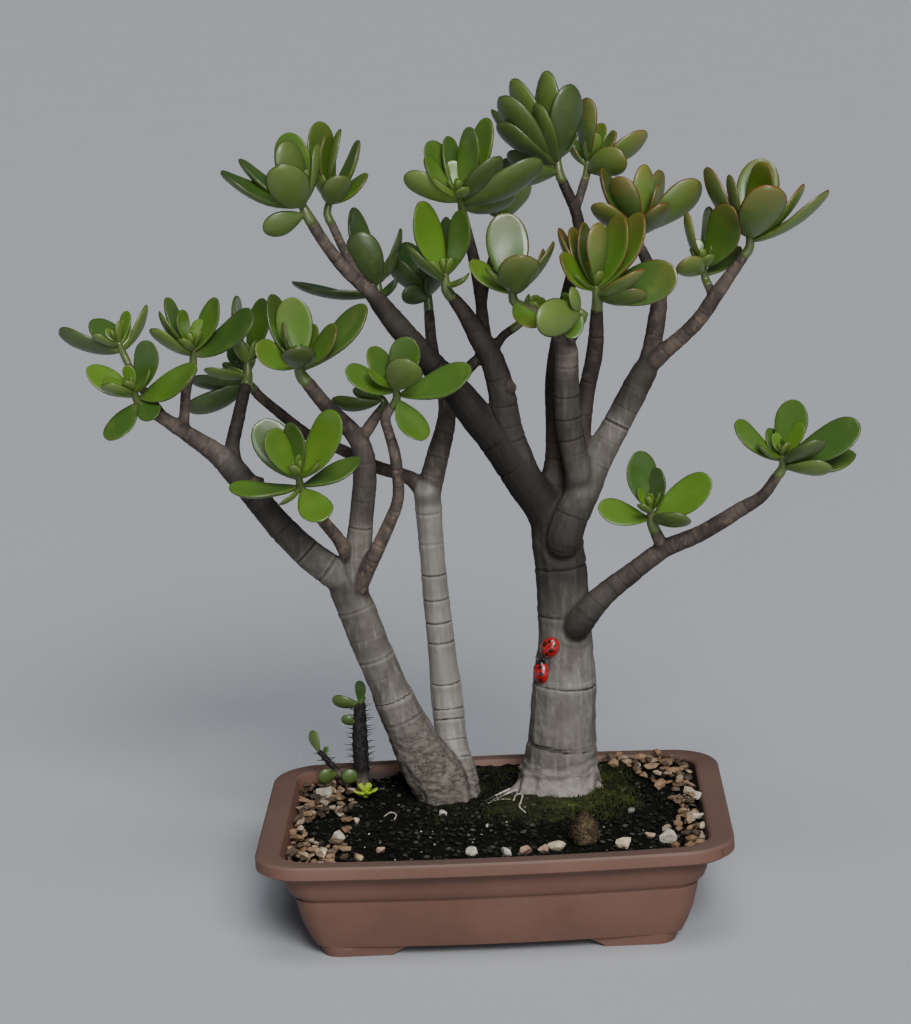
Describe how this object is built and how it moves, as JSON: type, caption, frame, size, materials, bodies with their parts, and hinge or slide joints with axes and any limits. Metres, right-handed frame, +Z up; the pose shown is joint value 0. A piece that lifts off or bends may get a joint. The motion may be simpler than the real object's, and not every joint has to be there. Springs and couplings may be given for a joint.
{
  "type": "potted jade plant",
  "caption": "Branching jade plant with thick oval leaves on bare ringed limbs, in a low rectangular tray with gravel and moss.",
  "frame": {"origin": "middle of the whole plant's footprint, at the height of the surface it stands on", "axes": "+Z up, +X to the right and +Y away as the plant is seen from its front, +X along the tray's long side"},
  "size_m": [0.5184, 0.2552, 0.5345],
  "materials": {
    "tray": "smooth satin brown",
    "soil": "dark crumbly potting soil",
    "gravel": "mixed tan and pink stone chips",
    "moss": "short olive moss",
    "bark": "grey bark with darker growth rings",
    "leaf": "glossy thick leaf skin",
    "thorn": "rough dark stem with pale spines",
    "ladybird": "glossy red with dark spots"
  },
  "bodies": {
    "root": {"pot": "tray", "soil": "soil", "gravel": "gravel", "moss": "moss", "moss_tuft": "moss", "left_tree": "bark", "right_tree": "bark", "thorny_seedling": "thorn", "thorny_offshoot": "thorn", "sprout": "leaf", "ladybird_upper": "ladybird", "ladybird_lower": "ladybird", "leaves_left_end": "leaf", "leaves_left_end_back": "leaf", "leaves_left_upper": "leaf", "leaves_left_middle": "leaf", "leaves_left_behind": "leaf", "leaves_inner_top": "leaf", "leaves_inner_front": "leaf", "leaves_inner_dark": "leaf", "leaves_inner_low": "leaf", "leaves_arch_left": "leaf", "leaves_arch_right": "leaf", "leaves_arch_back": "leaf", "leaves_second_top": "leaf", "leaves_centre_low": "leaf", "leaves_centre_top": "leaf", "leaves_crown": "leaf", "leaves_crown_right": "leaf", "leaves_right_back": "leaf", "leaves_right_front": "leaf", "leaves_right_droop": "leaf", "leaves_centre_front": "leaf", "leaves_right_side": "leaf", "leaves_right_end": "leaf", "leaves_low_end": "leaf", "leaves_low_side": "leaf", "leaves_centre_back": "leaf", "leaves_centre_small": "leaf"}
  },
  "joints": []
}
